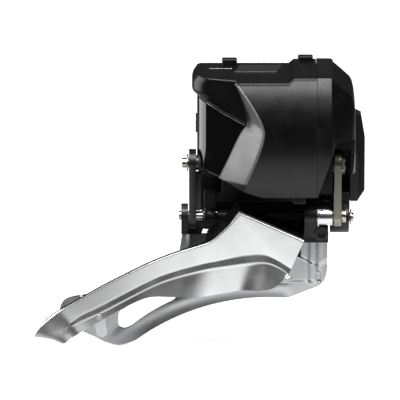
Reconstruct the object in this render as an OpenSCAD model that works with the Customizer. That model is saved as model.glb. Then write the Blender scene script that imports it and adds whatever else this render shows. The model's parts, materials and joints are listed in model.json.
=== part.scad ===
// Electronic front derailleur for a mountain bike with two chainrings.
// +X points to the front of the bicycle, +Y inboard to its frame, +Z up.
// The origin is the centre of the mounting bolt, on the face that sits against the frame.

/* [Linkage] */
// Length of each parallelogram link between its two pivots
link_length = 18; // [17:0.5:19]
// Distance of the driven pivot outboard of the mounting face
drive_pivot_out = 24; // [23.5:0.25:24.5]
// Height of the driven pivot above the mounting bolt
drive_pivot_up = 1.2; // [0.8:0.1:1.6]
// Radius of the lower pivot pins
pin_r = 1.5; // [1.2:0.1:1.8]
// Radial clearance of a running pivot
run_gap = 0.05; // [0.02:0.01:0.1]
// Radial clearance of the lower inboard pivot, which closes the linkage
open_gap = 0.2; // [0.15:0.05:0.3]

/* [Cage] */
// Radius of the outer plate's lower edge about the crank axis
outer_edge_r = 81.5; // [79:0.5:84]
// Inner width of the cage, where the chain runs
chain_gap = 12.5; // [11:0.5:13]
// Thickness of the cage plates
plate_t = 1.5; // [1.2:0.1:1.8]
// Distance of the cage's middle outboard of the mounting face
cage_out = 23.5; // [23:0.25:24]

/* [Housing] */
// Wall thickness of the motor housing
wall = 1.5; // [1.3:0.1:1.7]
// Radius of the barrel-shaped outboard face
barrel_r = 36; // [36:0.5:38]
// Radius of the electric motor
motor_r = 7; // [6:0.25:7]
// Length of the electric motor
motor_length = 23; // [20:1:24]

/* [Gears] */
// Gear module
gear_module = 0.5; // [0.5:0.5:0.5]
// Backlash along the pitch circle of each gear
backlash = 0.08; // [0.06:0.01:0.12]

/* [Mount] */
// Radius of the mounting bolt's shank
mount_bolt_r = 2.5; // [2:0.25:3]
// Length of shank that stands out of the mounting face
mount_bolt_proud = 9; // [7:1:12]
// Radius of the socket that takes the plug of the electric wire
port_r = 2.3; // [2:0.1:2.5]

/* [Hidden] */

$fn = 64;
eps = 0.01;
far = 100;

// Pivot centres in the Y-Z plane: a is the upper end of a link and b is the lower end
drive_a = [-drive_pivot_out, drive_pivot_up];
drive_b = drive_a - [0, link_length];
passive_offset = [10.5, -3];
passive_a = drive_a + passive_offset;
passive_b = drive_b + passive_offset;

// Motor housing, in the Y-Z plane
back_y = -10;
step_y = -19.5;
step_z = 3;
top_z = 32.4;
top_slope = 0.07;
raised_z = 33.8;
bottom_z = -8.3;
barrel_c = [barrel_r - 41, 11.15];
skin = 0.8;

// Stations along X
left_x = -24.3;
seam_x = 15.3;
gasket_t = 0.5;
cap_x = seam_x + gasket_t;
cap_front_x = 21;
cap_side_x = 28.3;
cap_wall_x = 19.5;
plate_x = 10.8;
gear_plate_t = 1.2;
layer_x = [12.5, 14.5, 16.5];
gear_t = 1.6;

// Shoulder of the mounting bolt, which fills the bracket's hole
bolt_shoulder_r = mount_bolt_r + 0.5;
shoulder_proud = 0.2;

// Screws that hold the housing to the bracket, in X-Z
housing_screw_c = [[-11, 9.5], [7, 9.5]];
// Screws that hold the end cap, in Y-Z
cap_screw_c = [[-13.4, 29.2], [-37.6, 12.5], [-13.3, 6.6]];
cap_boss_r = 2;
// Socket for the electric wire, in Y-Z
socket_c = [-15.5, 13];
socket_r = 3.25;
// Ends of the output shaft's bearings along X
bush_r = 3.5;
rear_bush_x = left_x + 1.4;
front_bush_x = 18.25;
rear_boss_end_x = -13.6;
sensor_x = -12;
// Circuit board: left edge, width and outboard face
board_x = -7;
board_w = 16;
board_y = -30.4;

// Gear train: teeth and shaft centres
pinion_n = 12;
wheel_n = 30;
output_n = 36;
pressure = 25;
function pitch_r(n) = gear_module * n / 2;
second_c = drive_a + centre_step(pitch_r(output_n) + pitch_r(pinion_n), 80.4);
first_c = second_c + centre_step(pitch_r(wheel_n) + pitch_r(pinion_n), 139.6);
motor_c = first_c + centre_step(pitch_r(wheel_n) + pitch_r(pinion_n), -11.2);
function centre_step(length, angle) = length * [cos(angle), sin(angle)];
axle_r = 0.75;
shaft_r = 2.5;
hub_r = 3.4;
motor_shaft_r = 0.8;

// Arms beside the housing
rear_arm_x = -27;
rear_arm_t = 2.4;
drive_arm_x = 21.1;
drive_arm_t = 2.6;
arm_r = 4.4;
stub_x = rear_arm_x - 2.3;
stub_r = 1.7;
stub_groove_r = 1.2;
shaft_clip_x = rear_arm_x - 0.7;
clip_t = 0.5;

// Cage
outer_y = -cage_out - chain_gap / 2 - plate_t;
inner_y = -cage_out + chain_gap / 2;
flange_y = inner_y - 1.7;
crank_z = -40.2 - outer_edge_r;
inner_edge_r = outer_edge_r - 6.4;
pad_top = -27.4;
tail_screw_c = [[-57, -50.2]];
cage_screw_c = [for (x = [-12, -2, 8]) [x, pad_top - 2.6]];
adjust_c = [17.2, -23.3];

// ---------- helpers ----------

// Extrudes an outline drawn in X-Z from y0 towards +Y
module slab_y(y0, t) {
  translate([0, y0 + t, 0]) rotate([90, 0, 0]) linear_extrude(t) children();
}

// Extrudes an outline drawn in Y-Z from x0 towards +X
module slab_x(x0, t) {
  translate([x0, 0, 0]) rotate([90, 0, 90]) linear_extrude(t) children();
}

// Round bar along X through the Y-Z point c
module bar_x(c, r, x0, len) {
  translate([x0, c[0], c[1]]) rotate([0, 90, 0]) cylinder(r = r, h = len);
}

// Round bar along +Y from the X-Z point c
module bar_y(c, r, y0, len) {
  translate([c[0], y0, c[1]]) rotate([-90, 0, 0]) cylinder(r = r, h = len);
}

// Everything on the outer side of a plane through p with outward normal n
module beyond(p, n) {
  u = n / norm(n);
  translate(p)
    rotate([0, acos(u[2]), atan2(u[1], u[0])])
      translate([-far, -far, 0]) cube([2 * far, 2 * far, far]);
}

// Retaining ring that snaps into a groove of the pin
module e_ring(c, x0, outer_r, groove_r) {
  difference() {
    bar_x(c, outer_r, x0, clip_t);
    bar_x(c, groove_r, x0 - eps, clip_t + 2 * eps);
    translate([x0 - eps, c[0] - groove_r * 0.8, c[1] - outer_r - 1])
      cube([clip_t + 2 * eps, groove_r * 1.6, outer_r + 1]);
  }
}

// Socket-head screw along X whose head looks along dir (1 or -1)
module screw_x(c, x_head, dir, r, len) {
  head_h = r * 1.3;
  translate([x_head, c[0], c[1]]) rotate([0, dir * 90, 0]) difference() {
    union() {
      translate([0, 0, -head_h]) cylinder(r = r * 1.8, h = head_h);
      translate([0, 0, -len]) cylinder(r = r, h = len - head_h / 2);
    }
    translate([0, 0, -head_h * 0.6]) cylinder(r = r, h = head_h, $fn = 6);
  }
}

function arc(c, r, a0, a1, n) = [
  for (i = [0:n]) c + r * [cos(a0 + (a1 - a0) * i / n), sin(a0 + (a1 - a0) * i / n)]
];

// Half the angle that a tooth covers at radius r
function involute(a) = (tan(a) - a * PI / 180) * 180 / PI;
function half_tooth(n, r) =
  let (base_r = pitch_r(n) * cos(pressure), a = acos(min(1, base_r / r)))
  90 / n - backlash / pitch_r(n) * 90 / PI + involute(pressure) - involute(a);
function polar(r, a) = r * [cos(a), sin(a)];

// Spur gear outline with a tooth centred on angle phase
module gear_outline(n, phase) {
  tip = pitch_r(n) + gear_module;
  root = pitch_r(n) - 1.25 * gear_module;
  start = max(root, pitch_r(n) * cos(pressure));
  flank = [for (i = [0:4]) start + (tip - start) * i / 4];
  polygon([
    for (k = [0:n - 1]) let (mid = phase + 360 * k / n)
      each concat(
        [polar(root, mid - half_tooth(n, flank[0]))],
        [for (r = flank) polar(r, mid - half_tooth(n, r))],
        [for (i = [4:-1:0]) polar(flank[i], mid + half_tooth(n, flank[i]))],
        [polar(root, mid + half_tooth(n, flank[0]))]
      )
  ]);
}

// Angle from gear centre p to gear centre q
function heading(p, q) = atan2(q[1] - p[1], q[0] - p[0]);

module gear(c, n, x0, t, phase) {
  slab_x(x0, t) translate(c) gear_outline(n, phase);
}

// ---------- housing shapes ----------

// Y-Z outline of the housing, drawn in by inset
module barrel_outline(inset, top) {
  front = -45;
  intersection() {
    polygon([
      [back_y - inset, top - inset],
      [front, top - inset - top_slope * (back_y - front)],
      [front, bottom_z + inset],
      [step_y - inset, bottom_z + inset],
      [step_y - inset, step_z + inset],
      [back_y - inset, step_z + inset]
    ]);
    translate(barrel_c) circle(r = barrel_r - inset, $fn = 128);
  }
}

// X-Z outline of the housing's left part: cut corners above and a raked lower edge
module side_outline(i) {
  polygon([
    [-16, far], [-16, top_z + 0.6 - i], [-21.3 + i / 2, 32.2 - i], [-23.5 + i, 30.3 - i / 2],
    [-25.2 + i, 28.5], [-26 + i, 26.8], [-25.8 + i, 25.2], [left_x - 0.3 + i, 24.4],
    [left_x + i, 3.4 + i / 2], [-21.3 + i / 2, 0.4 + i], [-16.7, -1.8 + i], [-14, -3.9 + i],
    [-2.7, bottom_z + i], [-2.7, -far], [far, -far], [far, far]
  ]);
}

// X-Y outline of the housing's left part: one large rounded corner
module plan_outline(i) {
  corner_r = 11;
  polygon(concat(
    [[-30, back_y - i], [-30 , -20]],
    [[-26 + i, -20], [left_x + i, -24]],
    arc([left_x + corner_r, -41.2 + corner_r], corner_r - i, 180, 270, 8),
    [[far, -41.2 + i], [far, back_y - i]]
  ));
}

facet_p = [-20, -27, 31.3];
facet_n = [-0.591, -0.734, 0.335];

// Solid form of the main housing, drawn in by inset
module housing_form(i, x_end) {
  difference() {
    intersection() {
      slab_x(-30, x_end + 30) barrel_outline(i, top_z);
      slab_y(-60, 60) side_outline(i);
      translate([0, 0, -50]) linear_extrude(far) plan_outline(i);
    }
    beyond(facet_p - i * facet_n, facet_n);
  }
}

// The gloss insert keeps clear of the rear bearing boss
module insert_area() {
  difference() {
    slab_y(-60, 39)
      polygon([
        [left_x - 1, 24.6], [-22.7, 22.6], [-8.8, 15.6], [-8.7, 14.6], [-16.9, -1.9],
        [-21.5, 0.2], [left_x - 1, 3.5]
      ]);
    bar_x(drive_a, bush_r + 0.9, left_x - 3, rear_boss_end_x - left_x + 3);
  }
}

module chevron_area() {
  slab_y(-60, 35)
    polygon([
      [-12.3, 31], [-8.3, 26.8], [-3.4, 19], [-1.7, 14], [-2.7, 9.8], [-7.7, -2.6],
      [-13.5, -3.3], [-16.9, -1.9], [-8.7, 14.6], [-8.8, 15.6], [-11.4, 23.4]
    ]);
}

// Outer skin of the housing inside an area
module skin_piece() {
  intersection() {
    difference() {
      housing_form(0, seam_x);
      housing_form(skin, seam_x - skin);
    }
    children();
  }
}

// X-Z outline of the end cap; the outboard part is cut back below along a slant
module cap_side_outline(slanted) {
  polygon(concat(
    [[cap_x - 1, far], [20.3, raised_z], [22.7, 30.9], [27, 28], [27.7, 26.3], [cap_side_x, 17]],
    [[cap_side_x, -1.5], [cap_front_x, -1.5]],
    slanted ? [[cap_front_x, 8.7], [cap_x, -8]] : [[cap_front_x, -6], [20, bottom_z]],
    [[cap_x - 1, bottom_z]]
  ));
}

module cap_plan_outline() {
  polygon([
    [cap_x - 1, -45], [cap_front_x, -45], [cap_front_x, -37.5], [27, -30],
    [cap_side_x, -27], [cap_side_x, back_y], [cap_x - 1, back_y]
  ]);
}

// ---------- base: bracket, housing and what is fixed inside it ----------

module mount_bracket() color("#1c1c1e") {
  plate_t_y = 7;
  ear_x = [-20.6, 16.2];
  ear_t = 4.2;
  difference() {
    union() {
      slab_y(-plate_t_y, plate_t_y)
        polygon([
          [-20.6, -9], [-20.6, 9], [-14, 14], [28.3, 14.7], [30.7, 13.6], [32, 6], [32, -12],
          [29.8, -15.5], [26.7, -15.5], [20.4, -9]
        ]);
      translate([26.9, -16, -13.8]) cube([2.6, 16, 15.5]);
      // Apron behind the inboard link
      slab_y(-plate_t_y, plate_t_y - 1)
        polygon([[-23.3, -18.6], [-22.3, -19.6], [26, -19.6], [27, -18.6], [27, -8], [-19, -2], [-23.3, -3]]);
      translate([-14, back_y, 5]) cube([28, 4, 9]);
      for (x = ear_x) {
        hull() {
          bar_x(passive_a, 4, x, ear_t, $fn = 32);
          translate([x, -plate_t_y, -6]) cube([ear_t, 1, 8.6]);
        }
      }
    }
    for (x = ear_x) bar_x(passive_a, 1.5, x - 1, ear_t + 2);
    bar_y([0, 0], bolt_shoulder_r + 0.15, -20, 21);
    bar_y([0, 0], mount_bolt_r * 1.8 + 0.4, -20, 17);
    for (c = housing_screw_c) {
      bar_y(c, 1.25, -20, 21);
      bar_y(c, 2.4, -2.2, 3);
    }
  }
}

module mount_bolt() color("silver") {
  head_r = mount_bolt_r * 1.7;
  difference() {
    union() {
      bar_y([0, 0], head_r, -7.4, 3.6);
      bar_y([0, 0], bolt_shoulder_r, -4, 4 + shoulder_proud);
      bar_y([0, 0], mount_bolt_r, -4, 4 + mount_bolt_proud);
    }
    translate([0, -7.4 - eps, 0]) rotate([-90, 0, 0]) cylinder(r = 2.3, h = 2.2, $fn = 6);
  }
}

module mount_washer() color("silver") difference() {
  bar_y([0, 0], mount_bolt_r * 1.75, -3.78, 0.76);
  bar_y([0, 0], bolt_shoulder_r + 0.02, -5, 3);
}

module motor_housing() color("#2b2b2c") {
  difference() {
    union() {
      difference() {
        union() {
          housing_form(0, seam_x);
          intersection() {
            slab_x(7.7, seam_x - 7.7) barrel_outline(0, raised_z);
            slab_y(-60, 60) polygon([[6.2, 20], [6.2, 32], [8.2, far], [far, far], [far, 20]]);
          }
          translate([-16, -14, 31]) cube([5, 4, 3.4]);
          translate([9.3, -14, 32]) cube([5, 4, 3.4]);
          slab_y(-33, 6) polygon([[7.7, -11], [7.7, -8], [11.7, -8], [11.7, -11]]);
        }
        housing_form(wall, seam_x + 1);
      }
      // Bosses for the output shaft, the wire socket and the fixing screws
      bar_x(drive_a, bush_r + 0.9, left_x + 0.2, rear_boss_end_x - left_x - 0.2);
      bar_x(socket_c, socket_r + 0.75, left_x + 0.2, 7.3);
      for (c = housing_screw_c) bar_y(c, 2.5, -14, 4);
      cap_screw_bosses();
      board_posts();
    }
    skin_piece() insert_area();
    skin_piece() chevron_area();
    bar_x(drive_a, bush_r, left_x - 3, 10);
    bar_x(drive_a, shaft_r + 0.3, left_x, 20);
    bar_x(socket_c, socket_r + 0.05, left_x - 3, 12);
    for (c = housing_screw_c) bar_y(c, 1, -13.5, 5);
    for (c = cap_screw_c) bar_x(c, 0.8, 3, 20);
  }
}

module cap_screw_bosses() {
  intersection() {
    for (c = cap_screw_c) bar_x(c, cap_boss_r, 5, seam_x - 5);
    housing_form(0.2, seam_x);
  }
}

// Posts on the outboard wall that carry the circuit board
module board_posts() {
  intersection() {
    for (x = [board_x + 1.5, board_x + board_w - 1.5], z = [4, 22]) bar_y([x, z], 1.1, -45, 45 + board_y);
    housing_form(0.2, seam_x);
  }
}

module end_cap() color("#2b2b2c") {
  cavity_x = cap_wall_x - cap_x;
  difference() {
    intersection() {
      slab_x(cap_x, cap_side_x - cap_x) barrel_outline(0, raised_z);
      union() {
        slab_y(-60, 60 - drive_pivot_out - 5.5) cap_side_outline(true);
        slab_y(-drive_pivot_out - 5.6, 60) cap_side_outline(false);
      }
      translate([0, 0, -50]) linear_extrude(far) cap_plan_outline();
    }
    difference() {
      slab_x(cap_x - 1, cavity_x + 1) barrel_outline(wall, raised_z);
      slab_y(-60, 60 - drive_pivot_out - 4)
        polygon([[16.5, -20], [16.5, -4], [17.4, 3], [18.9, 9.3], [30, 9.3], [30, -20]]);
      slab_y(-60, 60) polygon([[18.6, -20], [18.6, 2], [far, 2], [far, -20]]);
      for (c = cap_screw_c) bar_x(c, cap_boss_r, 5, 20);
      bar_x(drive_a, bush_r + 1.2, front_bush_x, 5);
    }
    // Room for the hub of the output gear
    bar_x(drive_a, hub_r + 0.2, cap_x - 1, front_bush_x - cap_x + 1);
    // Room for the drive arm, open below, with a lip in front of its upper end
    translate([20.7, -30.2, -20]) cube([6, 40, 27]);
    translate([20.7, -60, -20]) cube([5.8, 40, 22.5]);
    bar_x(drive_a, bush_r, cap_x - 1, 10);
    for (c = [first_c, second_c]) bar_x(c, axle_r, cap_x - 1, cavity_x + 2);
    for (c = cap_screw_c) {
      bar_x(c, 1.1, cap_x - 1, 10);
      bar_x(c, 2.1, 19, 30);
    }
  }
}

module cap_gasket() color("#101010") slab_x(seam_x, gasket_t) difference() {
  barrel_outline(0.25, top_z);
  barrel_outline(1.25, top_z);
}

module side_insert() color("#050505") skin_piece() insert_area();

module chevron_trim() color("#5c5c5c") skin_piece() difference() {
  chevron_area();
  insert_area();
}

module cap_screws() color("silver") for (c = cap_screw_c) screw_x(c, 20.35, 1, 0.95, 12);

module housing_screws() color("silver") for (c = housing_screw_c) difference() {
  union() {
    bar_y(c, 2.2, -2.2, 1.8);
    bar_y(c, 0.95, -13, 12);
  }
  translate([c[0], -1.4, c[1]]) rotate([-90, 0, 0]) cylinder(r = 1.1, h = 2, $fn = 6);
}

module motor_can() color("#b9bcc0") difference() {
  bar_x(motor_c, motor_r, plate_x - motor_length, motor_length);
  bar_x(motor_c, motor_r - 0.6, plate_x - motor_length - 1, motor_length);
  bar_x(motor_c, motor_shaft_r + run_gap, plate_x - 2, 5);
}

module motor_end_bell() color("#e8e8e2") difference() {
  bar_x(motor_c, motor_r - 0.62, plate_x - motor_length - 0.6, 3);
  bar_x(motor_c, motor_shaft_r + run_gap, plate_x - motor_length - 2, 8);
}

module gear_plate() color("#9a9ca0") difference() {
  slab_x(plate_x, gear_plate_t) difference() {
    barrel_outline(wall + 0.05, top_z);
    for (c = cap_screw_c) translate(c) circle(r = cap_boss_r + 0.1);
  }
  bar_x(motor_c, motor_shaft_r + 0.6, plate_x - 1, 4);
  bar_x(drive_a, shaft_r + 0.4, plate_x - 1, 4);
  for (c = [first_c, second_c]) bar_x(c, axle_r, plate_x - 1, 4);
}

module gear_axles() color("silver") for (c = [first_c, second_c])
  bar_x(c, axle_r, plate_x, cap_wall_x + 0.8 - plate_x);

module circuit_board() color("#14532d") {
  translate([board_x, board_y, 2]) cube([board_w, 1, 22]);
  for (p = [[1.5, 8], [1.5, 14.5], [9, 7], [8, 14]])
    translate([board_x + p[0], board_y - 1.2, p[1]]) cube([5, 1.2, 4]);
}

// Ring round the output shaft with a flat next to the housing's step
module position_sensor() color("#3b3b3b") difference() {
  bar_x(drive_a, 4, sensor_x, 3);
  bar_x(drive_a, shaft_r + 0.1, sensor_x - 1, 6);
  translate([sensor_x - 1, step_y - wall - 0.05, -far]) cube([6, far, 2 * far]);
}

module wire_socket() color("#4a4a4a") difference() {
  bar_x(socket_c, socket_r, left_x + 0.6, 6.6);
  bar_x(socket_c, port_r, left_x - 1, 7.4);
}

module socket_seal() color("#0d0d0d") difference() {
  bar_x(socket_c, socket_r, left_x - 0.5, 1.1);
  bar_x(socket_c, port_r + 0.3, left_x - 2, 4);
}

module output_bushes() color("#b08d57") {
  for (b = [[rear_bush_x, 3.2], [front_bush_x, 1.6]]) difference() {
    bar_x(drive_a, bush_r, b[0], b[1]);
    bar_x(drive_a, shaft_r + run_gap, b[0] - 1, 6);
  }
}

module shaft_seals() color("#0d0d0d") {
  for (x = [left_x + 0.4, front_bush_x + 1.65]) difference() {
    bar_x(drive_a, bush_r - 0.1, x, 0.75);
    bar_x(drive_a, shaft_r + 0.06, x - 1, 4);
  }
}

// ---------- gear train ----------

module motor_shaft() color("silver")
  bar_x(motor_c, motor_shaft_r, plate_x - motor_length - 1, motor_length + 4.4);

module motor_armature() color("#7a4a2a") difference() {
  bar_x(motor_c, motor_r - 1.2, plate_x - motor_length + 3.4, motor_length - 6);
  bar_x(motor_c, motor_shaft_r, 0 - motor_length, 60);
}

module motor_pinion() color("#c9a24a") difference() {
  gear(motor_c, pinion_n, layer_x[0], gear_t, heading(motor_c, first_c));
  bar_x(motor_c, motor_shaft_r, 0, 30);
}

// Wheel and pinion in one piece, turning on a fixed axle
module compound_gear(c, wheel_x, pinion_x, wheel_phase, pinion_phase) difference() {
  union() {
    gear(c, wheel_n, wheel_x, gear_t, wheel_phase);
    gear(c, pinion_n, pinion_x, gear_t, pinion_phase);
    bar_x(c, 1.9, wheel_x, pinion_x - wheel_x + gear_t);
  }
  bar_x(c, axle_r + run_gap, 0, 40);
}

module first_gear() color("#e9e6da")
  compound_gear(first_c, layer_x[0], layer_x[1],
    heading(first_c, motor_c) + 180 / wheel_n, heading(first_c, second_c));

module second_gear() color("#e9e6da")
  compound_gear(second_c, layer_x[1], layer_x[2],
    heading(second_c, first_c) + 180 / wheel_n, heading(second_c, drive_a));

module output_gear() color("#c9a24a") difference() {
  intersection() {
    gear(drive_a, output_n, layer_x[2], gear_t, heading(drive_a, second_c) + 180 / output_n);
    slab_x(layer_x[2], gear_t) union() {
      translate(drive_a) circle(r = hub_r);
      translate(drive_a) polygon(concat([[0, 2]], arc([0, 0], 12, 66, 116, 12)));
    }
  }
  bar_x(drive_a, shaft_r, 0, 40);
}

// ---------- outboard link: output shaft with an arm at each end ----------

module output_shaft() color("silver") difference() {
  union() {
    bar_x(drive_a, shaft_r, rear_arm_x, drive_arm_x + drive_arm_t + 1.2 - rear_arm_x);
    bar_x(drive_a, stub_r, stub_x, rear_arm_x - stub_x + 1);
  }
  difference() {
    bar_x(drive_a, shaft_r, shaft_clip_x, clip_t);
    bar_x(drive_a, stub_groove_r, shaft_clip_x - 1, clip_t + 2);
  }
}

// Arm from the driven pivot down to the cage's pivot
module arm(x, t, upper_r, lower_r) difference() {
  slab_x(x, t) hull() {
    translate(drive_a) circle(r = upper_r);
    translate(drive_b) circle(r = lower_r);
  }
  bar_x(drive_a, shaft_r, x - 1, t + 2);
  bar_x(drive_b, pin_r + run_gap, x - 1, t + 2);
}

module rear_arm() color("#18181a") arm(rear_arm_x, rear_arm_t, 4.6, arm_r);

module drive_arm() color("#8f8a78") arm(drive_arm_x, drive_arm_t, 4.6, 3.6);

module shaft_clip() color("silver") e_ring(drive_a, shaft_clip_x, 2.85, stub_groove_r);

module drive_nut() color("silver") difference() {
  bar_x(drive_a, 4, drive_arm_x + drive_arm_t, 1.1, $fn = 6);
  bar_x(drive_a, shaft_r, drive_arm_x, 8);
}

// ---------- inboard link ----------

link_fork_x = [-22, 20.2];
link_fork_t = [4, 6.4];
knuckle_x = [-16, 32];

module inner_link() color("#1a1a1c") difference() {
  union() {
    bar_x(passive_a, 3.4, knuckle_x[0], knuckle_x[1]);
    slab_x(knuckle_x[0], knuckle_x[1]) polygon([
      passive_a + [-1.5, 0], passive_a + [1.5, 0], passive_a + [1.5, -12], passive_a + [-1.5, -12]
    ]);
    slab_x(link_fork_x[0], link_fork_x[1] + link_fork_t[1] - link_fork_x[0]) polygon([
      passive_a + [-1.5, -9], passive_a + [1.5, -9], passive_a + [1.5, -12.4], passive_a + [-1.5, -12.4]
    ]);
    for (i = [0, 1]) slab_x(link_fork_x[i], link_fork_t[i]) {
      translate(passive_b) circle(r = i == 0 ? 4.2 : 5.2);
      translate(passive_b + [-2.4, 0]) square([4.8, 9]);
    }
  }
  bar_x(passive_a, 2.1, knuckle_x[0] - 1, 40);
  for (i = [0, 1]) bar_x(passive_b, pin_r + open_gap, link_fork_x[i] - 1, link_fork_t[i] + 2);
}

module link_bushes() color("#b08d57") for (x = [knuckle_x[0], knuckle_x[0] + knuckle_x[1] - 6])
  difference() {
    bar_x(passive_a, 2.1, x, 6);
    bar_x(passive_a, 1.5 + run_gap, x - 1, 8);
  }

module upper_pin() color("silver") difference() {
  bar_x(passive_a, 1.5, -22, 43.8);
  for (x = [-21.5, 20.8]) difference() {
    bar_x(passive_a, 2, x, 0.5);
    bar_x(passive_a, 1.1, x - 1, 3);
  }
}

module upper_pin_clips() color("silver") for (x = [-21.5, 20.8]) e_ring(passive_a, x, 2.6, 1.1);

// ---------- cage ----------

module cage_bracket() color("#161617") {
  core_x = [-17.6, 19.6];
  difference() {
    union() {
      // Knuckle for the inboard link
      bar_x(passive_b, 3.2, core_x[0], core_x[1] - core_x[0]);
      // Cross member under the housing
      slab_x(core_x[0], core_x[1] - core_x[0]) polygon([
        passive_b + [3, 0], passive_b + [3, -7.5], [inner_y, pad_top], [inner_y - 1.5, pad_top],
        [inner_y - 1.5, -22.6], passive_b + [-3, 0]
      ]);
      // Pad that the inner plate is screwed to
      translate([core_x[0], inner_y - 1.5, pad_top - 5]) cube([28.1, 1.5, 6]);
      slab_x(11.5, 4) hull() {
        translate(drive_b) circle(r = 3.6);
        translate([-19.6, -23.8]) circle(r = 1.6);
      }
      // Rear ear outside the rear arm, and the web that carries it
      slab_x(-29.6, 2.3) polygon(concat(
        arc(drive_b, 4, 0, 180, 12), [[-28, -21.2], [-27, -22.4], [-17.85, -24.6], [-17.85, -21]]));
      slab_y(inner_y - 1.6, 1)
        polygon([[-29.6, -24.4], [-23, -24.6], [-22.2, -22.6], [-16, -22.6], [-16, -19.8], [-29.6, -19.8]]);
      // Boss for the adjusting screw
      bar_y(adjust_c, 2.2, -21.6, 6);
    }
    bar_x(passive_b, pin_r, core_x[0] - 1, 60);
    bar_x(drive_b, pin_r, -40, 80);
    bar_y(adjust_c, 1.55, -30, 40);
    bar_y(adjust_c, 2.6, -24, 2.4);
    for (c = cage_screw_c) bar_y(c, 1.1, inner_y - 5, 10);
  }
}

// Outer plate's outline in X-Z
module outer_outline() {
  difference() {
    polygon([
      [-10.2, -13.8], [11.3, -23.6], [11.7, -24.2], [9.5, -29.4], [6.6, -34.2], [4.2, -37], [1, -39.4],
      [0, -50], [-19.9, -50], [-19.9, -42.7], [-27, -42.9], [-39.3, -42.7], [-42.7, -43.9], [-53.7, -49.7],
      [-63.3, -55.8], [-69.1, -59.2], [-78.8, -56.5], [-76.6, -52.8], [-70.5, -48.5],
      [-62, -43.3], [-52.7, -37.9], [-41.7, -32.1], [-29.7, -27.2], [-21.3, -24.5],
      [-18.6, -23], [-16.3, -20.9], [-12.7, -17.2]
    ]);
    translate([0, crank_z]) circle(r = outer_edge_r, $fn = 256);
  }
}

module outer_plate() color("#d4d6d9") {
  difference() {
    union() {
      slab_y(outer_y, plate_t) outer_outline();
      // Flanges along the upper edge: the rear one reaches the inner plate
      slab_y(outer_y, flange_y - outer_y) polygon([
        [-10.2, -13.8], [11.3, -23.6], [10.8, -24.7], [-9.9, -15.2], [-11.6, -18.4],
        [-15.3, -22], [-18, -24.3], [-18.6, -23], [-16.3, -20.9], [-12.7, -17.2]
      ]);
      slab_y(outer_y, inner_y - outer_y) polygon([
        [-18, -24.3], [-21, -25.8], [-29.3, -28.4], [-29.7, -27.2], [-21.3, -24.5], [-18.6, -23]
      ]);
      // Raised step that stiffens the plate
      slab_y(outer_y - 0.6, 0.7) polygon(concat(
        [[-58.7, -50.4], [-50, -45.4], [-40, -40.6], [-30, -37.1], [-20, -34.6], [-10, -32.7],
         [-4, -31.6], [0, -31.8], [5, -34.6]],
        [[9.3, -29.9], [10.8, -26.3], [10.4, -25], [-9.8, -15.8], [-13.2, -18.8], [-17, -22.6],
         [-21.6, -25.9], [-30.3, -28.8], [-42.2, -33.6], [-53.2, -39.4], [-62.6, -44.9],
         [-65.6, -46.8]]));
    }
    rivet_holes(outer_y - 1, plate_t + 2);
  }
}

module rivet_holes(y0, len) for (c = tail_screw_c) bar_y(c, 1, y0, len);

module inner_outline() difference() {
  polygon([
    [19.4, pad_top], [19.4, -37.4], [18.4, -41.1], [16.7, -42.6], [7.3, -46.4], [-2, -60],
    [-38, -66], [-46.3, -61.3], [-48, -62.4], [-50.7, -63], [-55.3, -62], [-58.5, -60],
    [-63.5, -58.3], [-68, -55], [-70.6, -51.2], [-69, -48], [-65, -46.2], [-61, -45.6],
    [-52.7, -42.3], [-41.7, -37.3], [-30.3, -31.3], [-29.6, -25], [-17.8, -25], [-17.8, pad_top]
  ]);
  translate([0, crank_z]) circle(r = inner_edge_r, $fn = 256);
  // Window that saves weight in the tail
  polygon([
    [-31.8, -46], [-31.7, -47.4], [-36, -49.6], [-40, -51.9], [-43.4, -54.2], [-46, -56.2],
    [-48.3, -57.3], [-49.9, -57.1], [-50.7, -56], [-50.5, -51.9], [-48.6, -50.4], [-44, -47.4],
    [-40.7, -45.6], [-36, -44]
  ]);
}

module inner_plate() color("#c8cacd") difference() {
  slab_y(inner_y, plate_t) inner_outline();
  rivet_holes(inner_y - 1, plate_t + 2);
  for (c = cage_screw_c) bar_y(c, 1.25, inner_y - 1, plate_t + 2);
}

module tail_bridge() color("#d4d6d9") difference() {
  hull() for (c = [[-57, -50.2], [-56.2, -55.4]])
    bar_y(c, 1.9, outer_y + plate_t, chain_gap, $fn = 32);
  rivet_holes(outer_y, 30);
}

module tail_screws() color("silver") for (c = tail_screw_c) {
  bar_y(c, 0.95, outer_y - 0.1, chain_gap + 2 * plate_t + 0.1);
  bar_y(c, 1.9, inner_y + plate_t, 0.8);
}

module cage_screws() color("silver") for (c = cage_screw_c) difference() {
  union() {
    bar_y(c, 1.05, inner_y - 1.4, plate_t + 1.5);
    bar_y(c, 2.1, inner_y + plate_t, 1);
  }
  bar_y(c, 1, inner_y + plate_t + 0.4, 2, $fn = 6);
}

module pivot_bush() color("silver") difference() {
  union() {
    bar_x(drive_b, 3.3, 16.4, 4.5);
    bar_x(drive_b, 4, 15.6, 0.8);
  }
  bar_x(drive_b, pin_r, 10, 20);
}

module rear_pin() color("silver") {
  bar_x(drive_b, pin_r, -30.4, 8);
}

module front_pin() color("silver") {
  bar_x(drive_b, pin_r, 11.5, 13.1);
  bar_x(drive_b, 2.3, drive_arm_x + drive_arm_t + 0.3, 1.3);
}

module lower_pin() color("silver") difference() {
  bar_x(passive_b, pin_r, link_fork_x[0] - 1.4, 51.6);
  for (x = [-22.8, 26.9]) difference() {
    bar_x(passive_b, pin_r + 1, x, 0.5);
    bar_x(passive_b, 1.1, x - 1, 3);
  }
}

module pin_clips() color("silver") for (x = [-22.8, 26.9]) e_ring(passive_b, x, 2.6, 1.1);

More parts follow.
